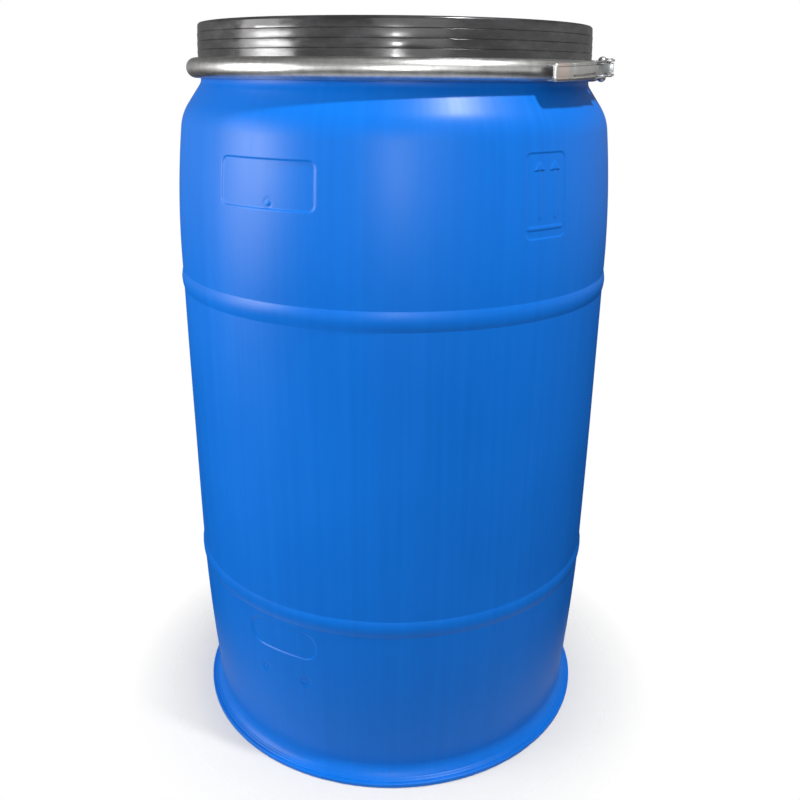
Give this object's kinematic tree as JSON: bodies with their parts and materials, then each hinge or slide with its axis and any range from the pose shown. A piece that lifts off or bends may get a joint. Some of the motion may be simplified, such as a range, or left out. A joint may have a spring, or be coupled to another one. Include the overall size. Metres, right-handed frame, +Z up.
{
  "type": "open head drum",
  "caption": "Round blow-moulded plastic drum with two hoops and a foot flange, a loose dished lid and a steel clamp ring closed by an over-centre lever.",
  "frame": {"origin": "centre of the foot, on the floor the drum stands on", "axes": "+Z up along the drum's axis; -Y is the front, with the lever at the front right; +X is the drum's right-hand side seen from the front"},
  "size_m": [0.5869, 0.587, 0.9724],
  "materials": {
    "blue_hdpe": "satin-gloss blow-moulded polyethylene",
    "black_hdpe": "glossy moulded polyethylene",
    "gasket_rubber": "matt foam rubber",
    "galvanised_band": "satin galvanised sheet, roll-formed",
    "zinc_fittings": "dull zinc-plated pressings",
    "zinc_lever": "zinc-plated pressing, slightly warm",
    "steel_pins": "zinc-plated rivets and pins"
  },
  "bodies": {
    "drum": {"drum_body": "blue_hdpe"},
    "lid": {"lid": "black_hdpe", "lid_gasket": "gasket_rubber"},
    "ring_back": {"clamp_band_back": "galvanised_band"},
    "ring_lever_side": {"clamp_band_lever_side": "galvanised_band", "lever_bracket": "zinc_fittings", "pivot_rivets": "steel_pins"},
    "ring_link_side": {"clamp_band_link_side": "galvanised_band", "link_bracket": "zinc_fittings", "anchor_pin": "steel_pins"},
    "lever": {"lever": "zinc_lever", "link_pin": "steel_pins"},
    "link": {"link": "zinc_fittings"}
  },
  "joints": [
    {"name": "lid_lift", "type": "slide", "parent": "drum", "child": "lid", "axis": [0, 0, 1], "range_m": [0, 0.25]},
    {"name": "ring_lift", "type": "slide", "parent": "drum", "child": "ring_back", "axis": [0, 0, 1], "range_m": [0, 0.16]},
    {"name": "ring_lever_side_open", "type": "hinge", "parent": "ring_back", "child": "ring_lever_side", "pos_m": [-0.26356, -0.0408, 0.9207], "axis": [0, 0, -1], "range_deg": [0, 2.4]},
    {"name": "ring_link_side_open", "type": "hinge", "parent": "ring_back", "child": "ring_link_side", "pos_m": [-0.16712, 0.20785, 0.9207], "axis": [0, 0, 1], "range_deg": [0, 2.4]},
    {"name": "lever_swing", "type": "hinge", "parent": "ring_lever_side", "child": "lever", "pos_m": [0.24326, -0.12609, 0.9229], "axis": [-0.0177, -0.0341, 0.9993], "range_deg": [0, 150]},
    {"name": "link_swing", "type": "hinge", "parent": "lever", "child": "link", "pos_m": [0.2294, -0.1469, 0.92195], "axis": [-0.0177, -0.0341, 0.9993], "range_deg": [-133, 0]}
  ],
  "couplings": [
    {"joint": "link_swing", "follows": "lever_swing", "ratio": -0.879},
    {"joint": "ring_lever_side_open", "follows": "lever_swing", "ratio": 0.0152},
    {"joint": "ring_link_side_open", "follows": "lever_swing", "ratio": 0.0152}
  ]
}
